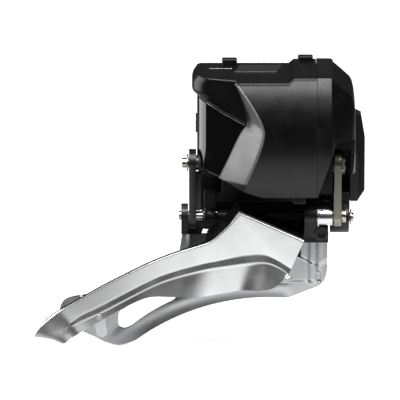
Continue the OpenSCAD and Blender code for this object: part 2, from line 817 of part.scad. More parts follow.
module adjust_screw() color("#2a2a2c") difference() {
  union() {
    bar_y(adjust_c, 1.5, -22, 8);
    bar_y(adjust_c, 2.4, -23.8, 2.2);
  }
  translate([adjust_c[0], -23.8 - eps, adjust_c[1]]) rotate([-90, 0, 0]) cylinder(r = 1.5, h = 1.6, $fn = 6);
}

mount_bracket();
mount_bolt();
mount_washer();
motor_housing();
end_cap();
cap_gasket();
side_insert();
chevron_trim();
cap_screws();
housing_screws();
motor_can();
motor_end_bell();
gear_plate();
gear_axles();
circuit_board();
position_sensor();
wire_socket();
socket_seal();
output_bushes();
shaft_seals();
motor_shaft();
motor_armature();
motor_pinion();
first_gear();
second_gear();
output_shaft();
output_gear();
rear_arm();
drive_arm();
shaft_clip();
drive_nut();
inner_link();
link_bushes();
upper_pin();
upper_pin_clips();
cage_bracket();
outer_plate();
inner_plate();
tail_bridge();
tail_screws();
cage_screws();
pivot_bush();
rear_pin();
front_pin();
lower_pin();
pin_clips();
adjust_screw();
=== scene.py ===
"""Looks of the electronic front derailleur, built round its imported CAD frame. Lengths are in millimetres
from the centre of the mounting bolt, and make() turns them into metres."""
import json
import math

import bmesh
import bpy
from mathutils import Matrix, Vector

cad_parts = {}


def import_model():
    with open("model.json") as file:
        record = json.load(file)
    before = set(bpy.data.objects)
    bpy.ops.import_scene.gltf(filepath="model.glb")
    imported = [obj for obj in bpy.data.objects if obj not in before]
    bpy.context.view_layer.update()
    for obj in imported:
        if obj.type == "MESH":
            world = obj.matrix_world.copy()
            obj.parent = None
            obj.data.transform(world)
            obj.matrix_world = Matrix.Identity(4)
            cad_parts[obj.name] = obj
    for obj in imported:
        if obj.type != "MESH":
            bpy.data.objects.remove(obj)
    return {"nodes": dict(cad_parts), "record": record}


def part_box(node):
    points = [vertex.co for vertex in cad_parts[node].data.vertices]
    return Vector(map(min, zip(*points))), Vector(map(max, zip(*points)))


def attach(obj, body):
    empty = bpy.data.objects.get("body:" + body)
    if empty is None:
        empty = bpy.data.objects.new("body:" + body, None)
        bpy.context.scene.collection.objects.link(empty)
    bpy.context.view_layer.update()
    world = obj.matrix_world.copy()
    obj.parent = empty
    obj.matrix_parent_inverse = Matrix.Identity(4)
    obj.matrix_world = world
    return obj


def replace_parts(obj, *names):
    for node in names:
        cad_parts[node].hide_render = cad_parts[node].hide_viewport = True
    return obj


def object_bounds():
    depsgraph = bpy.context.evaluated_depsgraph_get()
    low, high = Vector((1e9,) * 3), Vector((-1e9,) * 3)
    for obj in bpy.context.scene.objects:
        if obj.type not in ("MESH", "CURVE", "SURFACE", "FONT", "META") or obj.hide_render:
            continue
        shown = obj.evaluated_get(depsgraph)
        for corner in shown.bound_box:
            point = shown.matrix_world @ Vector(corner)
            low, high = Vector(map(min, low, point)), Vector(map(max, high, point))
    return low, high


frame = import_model()
cad_low, cad_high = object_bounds()
MM = 0.001


def box(node):
    """A node's lowest and highest corners in millimetres."""
    low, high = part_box(node)
    return Vector(low) / MM, Vector(high) / MM


def ease(t):
    """0 to 1 with a soft start and a soft end."""
    t = max(0.0, min(1.0, t))
    return t * t * (3 - 2 * t)


# ---------------------------------------------------------------- materials

COAT_ROUGH = 0.05
# Grains per millimetre of the slow drifts in roughness, and the least and most of a surface's roughness
DRIFT = 0.15
DRIFT_RANGE = (0.85, 1.2)
# Painted edge highlight: pointiness at which the lighter edge colour begins and is full, and its share there
HIGHLIGHT_FROM, HIGHLIGHT_FULL, HIGHLIGHT_SHARE = 0.53, 0.62, 0.5


def add_node(tree, kind, inputs=(), **settings):
    """A new shader node with its settings. Its inputs, by name or number, are set or linked."""
    node = tree.nodes.new("ShaderNode" + kind)
    for key, value in settings.items():
        setattr(node, key, value)
    for key, value in dict(inputs).items():
        if isinstance(value, bpy.types.NodeSocket):
            tree.links.new(value, node.inputs[key])
        else:
            node.inputs[key].default_value = value
    return node


def new_material(name, base, rough, metal=0.0, coat=0.0):
    """A material with its Principled shader and its object coordinates in millimetres."""
    mat = bpy.data.materials.new(name)
    mat.use_nodes = True
    tree = mat.node_tree
    shader = tree.nodes["Principled BSDF"]
    for key, value in (("Base Color", (*base, 1)), ("Roughness", rough), ("Metallic", metal),
                       ("Coat Weight", coat), ("Coat Roughness", COAT_ROUGH)):
        shader.inputs[key].default_value = value
    place = add_node(tree, "TexCoord").outputs["Object"]
    scale = add_node(tree, "VectorMath", {0: place, "Scale": 1 / MM}, operation="SCALE")
    return mat, tree, shader, scale.outputs[0]


def noise(tree, coords, per_mm, detail=3.0, stretch=(1, 1, 1)):
    """Noise whose grains are about 1 / per_mm millimetres across."""
    mapping = add_node(tree, "Mapping", {"Vector": coords, "Scale": stretch})
    tex = add_node(tree, "TexNoise", {"Vector": mapping.outputs[0], "Scale": per_mm, "Detail": detail})
    return tex.outputs["Fac"]


def spread(tree, value, low, high, start=0.3, end=0.7):
    """Maps a value between start and end onto low to high."""
    limits = {"From Min": start, "From Max": end, "To Min": low, "To Max": high}
    return add_node(tree, "MapRange", {"Value": value, **limits}).outputs[0]


def times(tree, first, second):
    """The product of two values."""
    return add_node(tree, "Math", {0: first, 1: second}, operation="MULTIPLY").outputs[0]


def mix_colour(tree, factor, first, second):
    """Goes from the first colour to the second as the factor goes from 0 to 1."""
    first, second = (c if isinstance(c, bpy.types.NodeSocket) else (*c, 1) for c in (first, second))
    mix = add_node(tree, "Mix", {"Factor": factor, "A": first, "B": second}, data_type="RGBA")
    return mix.outputs["Result"]


def bump(tree, height, strength, depth):
    """A normal that rises and falls with the height, depth millimetres at most."""
    return add_node(tree, "Bump", {"Height": height, "Strength": strength, "Distance": depth * MM}).outputs[0]


def grained(name, base, rough, metal=0.0, coat=0.0, per_mm=6.0, depth=0.02, strength=0.35, vary=0.25,
            stretch=(1, 1, 1), edge_highlight=None, fade=None):
    """A surface with fine grain in colour and bump, and slow drifts of roughness. With fade, a colour and a
    gloss of painted shade, it turns into that plain, shaded surface where the mesh's unshaded share goes from
    1 to 0."""
    mat, tree, shader, coords = new_material(name, base, rough, metal, coat)
    fine = noise(tree, coords, per_mm, 2.0, stretch)
    slow = noise(tree, coords, DRIFT, 4.0)
    dark = [c * (1 - vary) for c in base]
    light = [min(1.0, c * (1 + vary)) for c in base]
    colour = mix_colour(tree, spread(tree, fine, 0, 1), dark, light)
    if fade:
        unshaded_share = add_node(tree, "Attribute", attribute_name="unshaded_share").outputs["Fac"]
        colour = mix_colour(tree, unshaded_share, fade[0], colour)
        gloss = shader.inputs["Specular IOR Level"].default_value
        for socket, far, near in (("Metallic", 0, metal), ("Specular IOR Level", fade[1], gloss)):
            tree.links.new(spread(tree, unshaded_share, far, near, 0, 1), shader.inputs[socket])
    # Painted highlight: sharp edges are lightened towards a lighter colour
    if edge_highlight:
        shape = add_node(tree, "NewGeometry").outputs["Pointiness"]
        colour = mix_colour(tree, spread(tree, shape, 0.0, HIGHLIGHT_SHARE, HIGHLIGHT_FROM, HIGHLIGHT_FULL), colour, edge_highlight)
    tree.links.new(colour, shader.inputs["Base Color"])
    low, high = (rough * part for part in DRIFT_RANGE)
    tree.links.new(spread(tree, slow, low, high), shader.inputs["Roughness"])
    tree.links.new(bump(tree, fine, strength, depth), shader.inputs["Normal"])
    return mat


HOUSING_COLOUR = (0.0013, 0.0012, 0.0011)
SILVER_GRAIN = dict(metal=1.0, per_mm=9.0, depth=0.002, strength=0.15, vary=0.03)
# What grained() is given for each material. Their lighter edge colours are painted highlights on sharp edges
LOOKS = {
    "housing_black": dict(base=HOUSING_COLOUR, rough=0.30, per_mm=5.0, depth=0.03, strength=0.8, vary=0.3,
                          edge_highlight=(0.012, 0.012, 0.012)),
    "gloss_black": dict(base=(0.003, 0.003, 0.0035), rough=0.07, coat=1.0, per_mm=0.6, depth=0.002,
                        strength=0.1, vary=0.1),
    # Painted shade: the chevron's grey turns into the housing's black along its upper arm, which turns away
    # from the light
    "trim_grey": dict(base=(0.21, 0.21, 0.21), rough=0.42, metal=0.5, per_mm=4.0, depth=0.03, strength=0.5,
                      vary=0.2, fade=(HOUSING_COLOUR, 0.5)),
    "black_alloy": dict(base=(0.003, 0.003, 0.003), rough=0.38, per_mm=2.5, vary=0.2,
                        edge_highlight=(0.06, 0.06, 0.06)),
    "black_link": dict(base=(0.003, 0.003, 0.003), rough=0.30, per_mm=3.0, depth=0.01, vary=0.2,
                       edge_highlight=(0.08, 0.08, 0.08)),
    "black_screw": dict(base=(0.07, 0.07, 0.07), rough=0.24, metal=0.7, per_mm=4.0, depth=0.01,
                        edge_highlight=(0.15, 0.15, 0.15)),
    "cage_silver": dict(base=(0.90, 0.905, 0.91), rough=0.27, **SILVER_GRAIN),
    # Painted shade: the outer plate's upper flange is coloured near black with little gloss, for the shade it
    # lies in under the housing and between the plates
    "plate_silver": dict(base=(0.90, 0.905, 0.91), rough=0.27, fade=((0.006, 0.006, 0.007), 0.1),
                         **SILVER_GRAIN),
    # Painted shade: the cage's silver, darkened for the shade the inner plate lies in behind the outer plate
    "inner_silver": dict(base=(0.60, 0.605, 0.62), rough=0.28, **SILVER_GRAIN),
    "chrome": dict(base=(0.88, 0.88, 0.89), rough=0.18, metal=1.0, per_mm=1.0, depth=0.002, vary=0.02),
    # Painted reflection: the link's nickel is darkened for the black parts it reflects below it
    "nickel_link": dict(base=(0.36, 0.34, 0.27), rough=0.30, metal=1.0, per_mm=5.0, depth=0.01, vary=0.1,
                        stretch=(1, 1, 0.1)),
    "nickel_pin": dict(base=(0.66, 0.60, 0.51), rough=0.24, metal=1.0, per_mm=2.0, depth=0.004, vary=0.05),
    "bolt_steel": dict(base=(0.62, 0.62, 0.63), rough=0.24, metal=1.0, per_mm=5.0, depth=0.006, vary=0.08),
    "can_steel": dict(base=(0.56, 0.57, 0.59), rough=0.3, metal=1.0, per_mm=3.0, depth=0.01, vary=0.08,
                      stretch=(0.1, 1, 1)),
    "seal_rubber": dict(base=(0.010, 0.010, 0.010), rough=0.6, per_mm=4.0, vary=0.2),
    "inner_plastic": dict(base=(0.03, 0.03, 0.033), rough=0.45, per_mm=3.0, vary=0.2),
    "white_plastic": dict(base=(0.78, 0.77, 0.71), rough=0.4, per_mm=1.0, depth=0.01, vary=0.04),
    "board_green": dict(base=(0.015, 0.11, 0.045), rough=0.25, per_mm=1.2, vary=0.35),
    "bush_bronze": dict(base=(0.55, 0.38, 0.20), rough=0.4, metal=1.0, vary=0.15),
    "gear_brass": dict(base=(0.74, 0.56, 0.25), rough=0.28, metal=1.0, per_mm=4.0, depth=0.01, vary=0.08),
    "winding_copper": dict(base=(0.62, 0.27, 0.11), rough=0.35, metal=1.0, per_mm=2.4, depth=0.2,
                           strength=0.9, stretch=(0.15, 1, 1)),
}
MATERIALS = {name: grained(name, **look) for name, look in LOOKS.items()}


# ---------------------------------------------------------------- mesh tools

def make(name, bm, slot, body, round_mm=0.0, angle=28, thick=0.0, even=False, look=None):
    """Turns a bmesh in millimetres into a piece that rides on a body. Edges sharper than angle are rounded,
    and look is the material where it isn't the slot's own."""
    bmesh.ops.recalc_face_normals(bm, faces=bm.faces)
    for v in bm.verts:
        v.co *= MM
    mesh = bpy.data.meshes.new(name)
    bm.to_mesh(mesh)
    bm.free()
    for p in mesh.polygons:
        p.use_smooth = True
    mesh.set_sharp_from_angle(angle=math.radians(angle))
    piece = bpy.data.objects.new(name, mesh)
    bpy.context.collection.objects.link(piece)
    if thick:
        shell = piece.modifiers.new("shell", "SOLIDIFY")
        shell.thickness = thick * MM
        shell.offset = -1
    add_bevel(piece, round_mm, 3, angle)
    if even:
        piece.modifiers.new("shading", "WEIGHTED_NORMAL").keep_sharp = True
    mesh.materials.append(MATERIALS[look or slot])
    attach(piece, body)
    return piece


def add_bevel(piece, round_mm, segments, angle):
    """Rounds the edges that are sharper than angle."""
    if round_mm:
        bevel = piece.modifiers.new("edges", "BEVEL")
        bevel.width = round_mm * MM
        bevel.segments = segments
        bevel.limit_method = "ANGLE"
        bevel.angle_limit = math.radians(angle)
        bevel.harden_normals = True
        bevel.miter_outer = "MITER_ARC"


def block(low, high):
    """A bmesh box between two corners."""
    bm = bmesh.new()
    bmesh.ops.create_cube(bm, size=1)
    low, high = Vector(low), Vector(high)
    for v in bm.verts:
        v.co = Vector(low[i] + (v.co[i] + 0.5) * (high[i] - low[i]) for i in range(3))
    return bm


def cut(bm, point, normal):
    """Removes what lies beyond a plane and closes the cut."""
    geom = bm.verts[:] + bm.edges[:] + bm.faces[:]
    made = bmesh.ops.bisect_plane(bm, geom=geom, dist=1e-4, plane_co=Vector(point), plane_no=Vector(normal),
                                  clear_outer=True)
    rim = [e for e in made["geom_cut"] if isinstance(e, bmesh.types.BMEdge)]
    if rim:
        bmesh.ops.holes_fill(bm, edges=rim)
    return bm


def tube(rings):
    """An open tube through rings of equal length, and its vertices ring by ring."""
    bm = bmesh.new()
    verts = [[bm.verts.new(p) for p in ring] for ring in rings]
    for low, high in zip(verts, verts[1:]):
        for i in range(len(low)):
            j = (i + 1) % len(low)
            bm.faces.new((low[i], low[j], high[j], high[i]))
    return bm, verts


def loft(rings):
    """A closed solid through rings of equal length."""
    bm, verts = tube(rings)
    bm.faces.new(verts[0])
    bm.faces.new(verts[-1])
    bmesh.ops.recalc_face_normals(bm, faces=bm.faces)
    return bm


# Where an outline's points (a, b) lie on the prism's cross-section at the height c
PRISM_AXES = {"x": lambda a, b, c: (c, a, b), "y": lambda a, b, c: (a, c, b), "z": lambda a, b, c: (a, b, c)}


def prism(points, low, high, axis="y"):
    """A bmesh prism of an outline: in X-Z along Y, in X-Y along Z, or in Y-Z along X."""
    place = PRISM_AXES[axis]
    bm = bmesh.new()
    near, far = ([bm.verts.new(place(a, b, c)) for a, b in points] for c in (low, high))
    bm.faces.new(near)
    bm.faces.new(far)
    for i in range(len(points)):
        j = (i + 1) % len(points)
        bm.faces.new((near[i], near[j], far[j], far[i]))
    bmesh.ops.recalc_face_normals(bm, faces=bm.faces)
    return bm


def combine(bm, other, how):
    """Boolean of two bmeshes: how is UNION, DIFFERENCE or INTERSECT."""
    objects = []
    for source in (bm, other):
        bmesh.ops.recalc_face_normals(source, faces=source.faces)
        mesh = bpy.data.meshes.new("tmp")
        source.to_mesh(mesh)
        source.free()
        objects.append(bpy.data.objects.new("tmp", mesh))
        bpy.context.collection.objects.link(objects[-1])
    mod = objects[0].modifiers.new("cut", "BOOLEAN")
    mod.operation = how
    mod.solver = "EXACT"
    mod.object = objects[1]
    dg = bpy.context.evaluated_depsgraph_get()
    result = bmesh.new()
    result.from_mesh(objects[0].evaluated_get(dg).to_mesh())
    for o in objects:
        bpy.data.meshes.remove(o.data)
    bmesh.ops.remove_doubles(result, verts=result.verts, dist=1e-3)
    return result


def arc(cx, cy, r, start, end, steps):
    """Points of an arc, angles in degrees."""
    angles = [math.radians(start + (end - start) * i / steps) for i in range(steps + 1)]
    return [(cx + r * math.cos(a), cy + r * math.sin(a)) for a in angles]


def rod(centre, r, low, high):
    """A cylinder along X round a centre in Y-Z."""
    return prism(arc(*centre, r, 0, 350, 35), low, high, "x")


def spline(points, steps):
    """Catmull-Rom curve through the points, with steps pieces between each two."""
    pts = [Vector(p) for p in points]
    pts = [2 * pts[0] - pts[1]] + pts + [2 * pts[-1] - pts[-2]]
    out = []
    for i in range(1, len(pts) - 2):
        a, b, c, d = pts[i - 1:i + 3]
        for k in range(steps):
            t = k / steps
            out.append(0.5 * ((2 * b) + (c - a) * t + (2 * a - 5 * b + 4 * c - d) * t * t
                              + (3 * b - a - 3 * c + d) * t ** 3))
    return out + [pts[-2]]


def even_points(line, count):
    """A polyline resampled to count points at equal spacing."""
    lengths = [0.0]
    for a, b in zip(line, line[1:]):
        lengths.append(lengths[-1] + (b - a).length)
    out, i = [], 0
    for k in range(count):
        want = lengths[-1] * k / (count - 1)
        while i < len(line) - 2 and lengths[i + 1] < want:
            i += 1
        share = (want - lengths[i]) / max(1e-9, lengths[i + 1] - lengths[i])
        out.append(line[i].lerp(line[i + 1], min(1.0, share)))
    return out


def curve(points):
    """A smooth function through (input, output) pairs in rising order of input."""
    def value(x):
        if x <= points[0][0]:
            return points[0][1]
        for i in range(len(points) - 1):
            (x0, y0), (x1, y1) = points[i:i + 2]
            if x <= x1:
                before = points[i - 1] if i else points[i]
                after = points[i + 2] if i + 2 < len(points) else points[i + 1]
                m0 = (y1 - before[1]) / (x1 - before[0])
                m1 = (after[1] - y0) / (after[0] - x0)
                t, h = (x - x0) / (x1 - x0), x1 - x0
                return ((2 * t ** 3 - 3 * t * t + 1) * y0 + (t ** 3 - 2 * t * t + t) * h * m0
                        + (3 * t * t - 2 * t ** 3) * y1 + (t ** 3 - t * t) * h * m1)
        return points[-1][1]
    return value


# ---------------------------------------------------------------- motor housing

CAP_HIGH = box("end_cap")[1]
SEAM = box("cap_gasket")[0].x
BUSHES_LOW, BUSHES_HIGH = box("output_bushes")
# The output shaft's axis in Y-Z, the bore round it, and the boss of its rear bearing with its inner end
SHAFT = ((BUSHES_LOW.y + BUSHES_HIGH.y) / 2, (BUSHES_LOW.z + BUSHES_HIGH.z) / 2)
BORE_R, BOSS_R, BOSS_END = 2.65, 3.6, -13.6
# The barrel-shaped outboard face is round an axis along X
BARREL_R = 36.0
BARREL_Y, BARREL_Z = -41 + BARREL_R, 11.15
# The top face is RAISED above TOP beyond the ramp, which lies between two X
TOP, TOP_SLOPE, RAISED = 32.4, 0.07, CAP_HIGH.z
RAMP = (6.2, 7.9)
LEFT, FLOOR, BACK = -24.3, -8.3, -10.0
# Inner corner of the notch under the back, where the mounting bracket is
NOTCH_Y, NOTCH_Z = -19.5, 3.0
WALL = 1.6
# The facet turns back from this point of it. The insert's field is sunk below it, behind a narrow ledge
FACET_X, FACET_Y, FACET_TURN = -20.7, -29.3, math.radians(17.6)
RECESS, LEDGE = 0.8, 0.95
# Left end of the room inside, and corners of the lugs on the top face and under the floor
ROOM_LEFT = -21.6
LUGS = [((-16, -14, 31), (-11, -10.1, 34.2)), ((9.3, -14, 32), (14.3, -10.1, 35.2)),
        ((7.7, -33, -11), (11.7, -27, -8))]

# Feature lines of the outboard face: heights over X, then X over height
ridge_z = curve([(-26, 25.6), (-24.7, 25.0), (-20, 22.9), (-16, 20.6), (-13.3, 19.3), (-10, 17.6),
                 (-6.7, 16.2), (-3, 15.2), (1, 14.8), (16, 14.8)])
floor_z = curve([(-24.3, 2.6), (-23.3, 0.8), (-21.3, -0.6), (-16.7, -2.7), (-14, -3.7), (-8, -6.3),
                 (-3.2, -8.1), (-2, FLOOR), (16, FLOOR)])
band_left = curve([(-9, -19.6), (-2.8, -16.7), (2.5, -14.1), (7.9, -11.7), (11, -10.3), (13.6, -8.9),
                   (15.2, -8.0), (17, -7.6), (19, -7.8), (21.4, -8.5), (24, -9.3), (28, -10.7), (31, -12.0),
                   (34, -13.2)])
band_right = curve([(-9, -10.3), (-3.2, -7.7), (4.2, -4.7), (9.5, -2.8), (13, -1.9), (14.8, -1.8),
                    (16.6, -2.15), (19.5, -3.4), (22.8, -5.3), (27.1, -8.3), (30.5, -10.9), (34, -13.0)])
shoulder_x = curve([(24.4, -24.4), (25.0, -25.2), (25.8, -25.8), (27.3, -26), (29, -25.7), (30.3, -25.0),
                    (31.3, -24.0), (32.2, -22.8)])

# Steps of the outboard face from left to right: corner, side, band, front, ramp, and on to the seam
CORNER_N, SIDE_N, BAND_N, FRONT_N, RAMP_N, SEAM_N = 18, 14, 12, 12, 2, 5
BAND_COL = CORNER_N + SIDE_N
FRONT_COL = BAND_COL + BAND_N
RAMP_COL = FRONT_COL + FRONT_N
LAST_COL = RAMP_COL + RAMP_N + SEAM_N
# Steps from the floor up: the insert's field, the ledge above it and the upper part
LOWER_N, LEDGE_N, UPPER_N = 36, 4, 26
LAST_ROW = LOWER_N + LEDGE_N + UPPER_N
# Radius and steps of the rounded upper edge
EDGE_R, EDGE_N = 0.7, 5
# Times that a point of the face is worked out, as its height and its place depend on each other
PASSES = 6
# Steps of the chevron band from its level foot up
BAND_ROWS, BAND_FOOT = 70, -3.3


def barrel(bm, inset):
    """Cuts a block to the barrel-shaped outboard face, drawn in by inset: a plane each 1.5 degrees."""
    for k in range(57):
        turn = math.radians(-40 + 1.5 * k)
        normal = Vector((0, -math.cos(turn), math.sin(turn)))
        cut(bm, Vector((0, BARREL_Y, BARREL_Z)) + normal * (BARREL_R - inset), normal)
    return bm


def notch(wall_y=0.0, wall_z=0.0):
    """The room for the mounting bracket, larger by a wall."""
    return block((-40, NOTCH_Y - wall_y, -30), (40, 0, NOTCH_Z + wall_z))


def top_z(x, y):
    """The top face slopes down outboard and steps up near the seam."""
    rise = max(0.0, min(1.0, (x - RAMP[0]) / (RAMP[1] - RAMP[0])))
    return TOP + (RAISED - TOP) * rise + TOP_SLOPE * (y - BACK)


def barrel_y(z):
    """Y of the barrel-shaped face."""
    return BARREL_Y - math.sqrt(max(1.0, BARREL_R ** 2 - (z - BARREL_Z) ** 2))


def side_y(x, upper, z=TOP):
    """The flat that runs back to the left: the facet when upper is 1, the insert's sunk field when it is 0. It
    swells a little over the shaft's bearing at its lower left."""
    swell = 0.7 * ease((7 - z) / 5) * ease((-17 - x) / 5)
    return FACET_Y - math.tan(FACET_TURN) * (x - FACET_X) + RECESS * (1 - upper) - swell


def band_y(x_in, u, upper, z):
    """Y of the chevron band, u across it from the flat to the barrel. Its upper arm turns out later."""
    y_in = side_y(x_in, upper)
    return y_in + (barrel_y(z) - y_in) * u ** (1 + 0.9 * ease((z - 13) / 4))


def ledge_share(t):
    """How far the facet stands out over the sunk field, t of the way up the ledge."""
    return ease(0.9 * t + 0.05)


def row_place(row, x, y):
    """Height of a row of the outboard face at x and y, and upper: 0 on the sunk field, 1 on the facet."""
    ridge = ridge_z(x)
    if row <= LOWER_N:
        low = floor_z(x)
        return low + (ridge - LEDGE - low) * row / LOWER_N, 0.0
    if row <= LOWER_N + LEDGE_N:
        t = (row - LOWER_N) / LEDGE_N
        return ridge - LEDGE * (1 - t), ledge_share(t)
    t = (row - LOWER_N - LEDGE_N) / UPPER_N
    return ridge + (top_z(x, y) - EDGE_R - ridge) * t, 1.0


def column_place(col, z, upper):
    """X and Y of a column of the outboard face, from the left end of its round corner to the seam."""
    left = LEFT + (shoulder_x(z) - LEFT) * upper
    radius = 5.5 - 1.2 * ease((7 - z) / 5)
    if col < CORNER_N:
        turn = math.radians(90 * (1 - col / CORNER_N))
        x = left + radius * (1 - math.sin(turn))
        return x, side_y(x, upper, z) + radius * (1 - math.cos(turn))
    x_in, x_out = band_left(z), band_right(z)
    if col < BAND_COL:
        start = left + radius
        x = start + (x_in - start) * (col - CORNER_N) / SIDE_N
        return x, side_y(x, upper, z)
    if col <= FRONT_COL:
        u = (col - BAND_COL) / BAND_N
        return x_in + (x_out - x_in) * u, band_y(x_in, u, upper, z)
    k = col - FRONT_COL
    for start, stop, steps in ((x_out, RAMP[0], FRONT_N), (*RAMP, RAMP_N), (RAMP[1], SEAM, SEAM_N)):
        if k <= steps:
            break
        k -= steps
    return start + (stop - start) * k / steps, barrel_y(z)


def face_point(row, col):
    """Point of the housing's outboard face."""
    x, y = -10.0, -36.0
    for _ in range(PASSES):
        z, upper = row_place(row, x, y)
        x, y = column_place(col, z, upper)
    return Vector((x, y, z))


def band_point(rise, u, high):
    """Point of the chevron band, u across it, from its level foot up to the height high."""
    x = 0.0
    for _ in range(PASSES):
        foot = max(floor_z(x), BAND_FOOT)
        z = foot + (high - foot) * rise
        x_in, x_out = band_left(z), band_right(z)
        x = x_in + (x_out - x_in) * u
    upper = ledge_share((z - ridge_z(x) + LEDGE) / LEDGE)
    return Vector((x, band_y(x_in, u, upper, z), z))


def housing_rings(face):
    """Rings round the whole housing, from its floor up: back wall, left wall, then the outboard face."""
    rings = []
    for row in face:
        left = row[0]
        ring = [Vector((x, BACK, 0)) for x in (SEAM, RAMP[1], RAMP[0], -4, -14, left.x + 1.2)]
        ring += [Vector((left.x, BACK + (left.y - BACK) * t, 0)) for t in (0.12, 0.4, 0.7)]
        share = (left.z - floor_z(left.x)) / max(0.1, top_z(left.x, left.y) - floor_z(left.x))
        for p in ring:
            p.z = floor_z(p.x) + share * (top_z(p.x, p.y) - floor_z(p.x))
        rings.append(ring + [p.copy() for p in row])
    return rings


def edge_rings(last):
    """Rings of the rounded upper edge, drawn in from the last ring. The seam and the back stay in place."""
    rings = []
    for k in range(1, EDGE_N + 1):
        turn = math.pi / 2 * k / EDGE_N
        ring = []
        for i, p in enumerate(last):
            ahead = last[min(len(last) - 1, i + 1)] - last[max(0, i - 1)]
            inward = Vector((-ahead.y, ahead.x, 0)).normalized()
            q = p + inward * EDGE_R * (1 - math.cos(turn))
            if abs(p.x - SEAM) < 1e-6 or (abs(p.y - BACK) < 1e-6 and p.x > LEFT + 3):
                q.x = p.x
            q.z = top_z(q.x, q.y) - EDGE_R * (1 - math.sin(turn))
            ring.append(q)
        rings.append(ring)
    return rings


def housing_cavity():
    """The room inside the housing, open at the seam."""
    room = barrel(block((ROOM_LEFT, -50, FLOOR + 1.8), (SEAM + 1, -12, TOP - 3.5)), WALL)
    # Its sides behind the facet and the round corner, and over the rising floor
    cut(room, (FACET_X, FACET_Y + 2.9, 0), (-math.sin(FACET_TURN), -math.cos(FACET_TURN), 0))
    cut(room, (ROOM_LEFT, -24.0, 0), (-0.8, -0.6, 0))
    cut(room, (-16.7, 0, -1.2), (-0.4, 0, -1))
    room = combine(room, rod(SHAFT, BOSS_R + 0.3, -30, BOSS_END), "DIFFERENCE")
    return combine(room, notch(WALL, WALL), "DIFFERENCE")


def housing_shell(face):
    """The housing with its room, bearing, bore and lugs."""
    rings = housing_rings(face)
    bm, verts = tube(rings + edge_rings(rings[-1]))
    bm.faces.new(reversed(verts[0]))
    # The top face in three parts: right of the ramp, the ramp, and left of it
    top = verts[-1]
    ramp = len(top) - len(face[0]) + RAMP_COL
    bm.faces.new([top[0], top[1]] + top[ramp + RAMP_N:])
    bm.faces.new([top[1], top[2]] + top[ramp:ramp + RAMP_N + 1])
    bm.faces.new(top[2:ramp + 1])
    bmesh.ops.remove_doubles(bm, verts=bm.verts, dist=0.005)
    bm = combine(bm, notch(), "DIFFERENCE")
    bm = combine(bm, rod(SHAFT, BOSS_R, LEFT + 1.4, BOSS_END), "UNION")
    bm = combine(bm, housing_cavity(), "DIFFERENCE")
    bm = combine(bm, rod(SHAFT, BORE_R, LEFT - 2, SEAM + 1), "DIFFERENCE")
    for low, high in LUGS:
        lug = block(low, high)
        bmesh.ops.bevel(lug, geom=lug.edges[:], offset=0.5, segments=3, affect="EDGES", profile=0.5)
        bm = combine(bm, lug, "UNION")
    shell = make("housing_shell", bm, "housing_black", "base", even=True)
    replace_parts(shell, "motor_housing")


def top_marks():
    """Plain line and slanted badge on the top face."""
    line = prism(arc(-12.8, -17.5, 0.35, -90, 90, 8) + arc(-19.9, -17.5, 0.35, 90, 270, 8), 0, 1, "z")
    badge = prism([(-12.0, -22.5), (2.2, -22.5), (4.2, -13.8), (-10.0, -13.8)], 0, 1, "z")
    for name, bm, slot, proud in (("top_line", line, "bolt_steel", 0.08),
                                  ("top_badge", badge, "black_screw", 0.3)):
        for v in bm.verts:
            v.co.z = top_z(v.co.x, v.co.y) + (proud if v.co.z > 0.5 else -0.3)
        make(name, bm, slot, "base", round_mm=0.7 * proud)


def patch(name, grid, proud, thick, slot, fade=None):
    """A trim piece made from rows of points, lying a little proud of the surface they describe."""
    bm = bmesh.new()
    # Share of each point's own colour, where the rest is the painted shade given by fade
    unshaded_share = bm.verts.layers.float.new("unshaded_share")
    verts = []
    for r, row in enumerate(grid):
        verts.append([])
        for c, p in enumerate(row):
            up = grid[min(r + 1, len(grid) - 1)][c] - grid[max(r - 1, 0)][c]
            right = row[min(c + 1, len(row) - 1)] - row[max(c - 1, 0)]
            v = bm.verts.new(p + right.cross(up).normalized() * proud)
            v[unshaded_share] = fade[r][c] if fade else 1.0
            verts[-1].append(v)
    for low, high in zip(verts, verts[1:]):
        for c in range(len(low) - 1):
            bm.faces.new((low[c], low[c + 1], high[c + 1], high[c]))
    return make(name, bm, slot, "base", thick=thick, even=True)


def gloss_insert(face):
    """The insert covers the sunk field, from inside the round corner on."""
    grid = [row[5:BAND_COL + 1] for row in face[:LOWER_N + 1]]
    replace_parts(patch("gloss_insert", grid, 0.03, 0.9, "gloss_black"), "side_insert")


def chevron_band(face):
    """The upper arm of the chevron fades into the facet's black as painted shade, most of all at its left
    edge.
    """
    tops = [p.z for p in face[LAST_ROW][BAND_COL:FRONT_COL + 1]]
    grid = [[band_point(k / BAND_ROWS, c / BAND_N, top) for c, top in enumerate(tops)]
            for k in range(BAND_ROWS + 1)]
    # Share of the band's own grey that is left, where the rest is painted shade
    fade = [[1 - ease((p.z - 14) / 5) * (1 - 0.9 * ease((c - 2.0) / 6.5)) for c, p in enumerate(row)]
            for row in grid]
    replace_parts(patch("chevron_band", grid, 0.08, 0.7, "trim_grey", fade), "chevron_trim")


def housing():
    """The housing's pieces, all from one grid of points of its outboard face."""
    face = [[face_point(r, c) for c in range(LAST_COL + 1)] for r in range(LAST_ROW + 1)]
    housing_shell(face)
    top_marks()
    gloss_insert(face)
    chevron_band(face)


housing()


# ---------------------------------------------------------------- end cap

CAP_FRONT_X, CAP_ROUND = 21.0, 1.5
CAP_ROWS, ROUND_STEPS = 48, 5
# Width of the seam between the housing and the cap
SEAM_GAP = 0.15
# The cap's nose: X, how far its face stands back, and how far its top has dropped
NOSE = [(21.05, 2.8, 0.8), (22.6, 4.4, 2.0), (23.3, 4.9, 2.5), (25.0, 6.4, 3.9), (26.6, 8.1, 5.2),
        (27.3, 9.2, 6.4), (27.9, 10.6, 8.6), (CAP_HIGH.x, 12.4, 11.5)]
